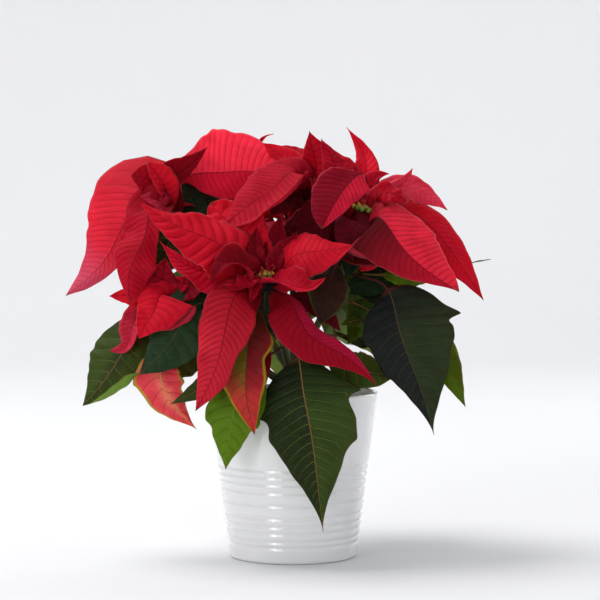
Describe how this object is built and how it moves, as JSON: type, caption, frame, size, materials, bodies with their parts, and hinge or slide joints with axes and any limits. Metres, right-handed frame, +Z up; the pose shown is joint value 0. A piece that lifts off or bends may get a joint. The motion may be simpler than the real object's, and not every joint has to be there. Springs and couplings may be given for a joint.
{
  "type": "potted poinsettia",
  "caption": "Potted poinsettia with red bracts, green leaves, a forked stem and small green flowers, growing in a flared white ceramic pot.",
  "frame": {"origin": "centre of the pot's flat underside", "axes": "+Z up along the pot's axis, -Y towards the front head and the large leaf over the pot, +X to the right seen from the front"},
  "size_m": [0.3644, 0.2402, 0.3661],
  "materials": {
    "white_glaze": "glossy white glaze",
    "nursery_plastic": "thin black plastic",
    "potting_soil": "dark crumbly potting mix",
    "green_bark": "green-brown young bark",
    "flower_green": "waxy yellow-green flower cups",
    "turning_leaf": "coral and green, matt and veined",
    "green_leaf": "dark green, satin and veined",
    "red_bract": "red, velvety and veined"
  },
  "bodies": {
    "root": {"pot": "white_glaze", "nursery_pot": "nursery_plastic", "soil": "potting_soil", "stems": "green_bark", "flowers_front": "flower_green", "flowers_left": "flower_green", "flowers_low": "flower_green", "flowers_top": "flower_green", "flowers_right": "flower_green", "flowers_back": "flower_green", "front_bract_left": "red_bract", "front_bract_upper_left": "red_bract", "front_bract_upright": "red_bract", "front_bract_right": "red_bract", "front_bract_trough": "red_bract", "front_bract_hanging": "red_bract", "front_bract_hanging_right": "red_bract", "front_bract_cup": "red_bract", "front_bract_lower_left": "red_bract", "left_bract_arching": "red_bract", "left_bract_hanging": "red_bract", "left_bract_upright": "red_bract", "left_bract_great": "red_bract", "low_bract_heart": "red_bract", "low_bract_curled": "red_bract", "low_bract_upright": "red_bract", "top_bract_folded": "red_bract", "top_bract_back": "red_bract", "top_bract_upright": "red_bract", "right_bract_folded": "red_bract", "right_bract_upper_left": "red_bract", "right_bract_upright": "red_bract", "right_bract_great": "red_bract", "right_bract_outer": "red_bract", "right_bract_upper_right": "red_bract", "right_bract_behind": "red_bract", "right_bract_inner_left": "red_bract", "back_bract_left": "red_bract", "back_bract_right": "red_bract", "back_bract_hanging": "red_bract", "back_bract_lower_right": "red_bract", "turning_leaf_front": "turning_leaf", "turning_leaf_low": "turning_leaf", "leaf_over_pot": "green_leaf", "leaf_right_dark": "green_leaf", "leaf_left": "green_leaf", "leaf_low_behind": "green_leaf", "leaf_front_lime": "green_leaf", "leaf_centre_dark": "green_leaf", "leaf_right_inner": "green_leaf", "leaf_right_hanging": "green_leaf", "leaf_over_rim": "green_leaf", "leaf_right_lime": "green_leaf", "leaf_right_level": "green_leaf", "leaf_left_olive": "green_leaf", "leaf_top_dark": "green_leaf", "leaf_back_left": "green_leaf", "leaf_back_right": "green_leaf", "leaf_back": "green_leaf", "leaf_side_right": "green_leaf"}
  },
  "joints": []
}
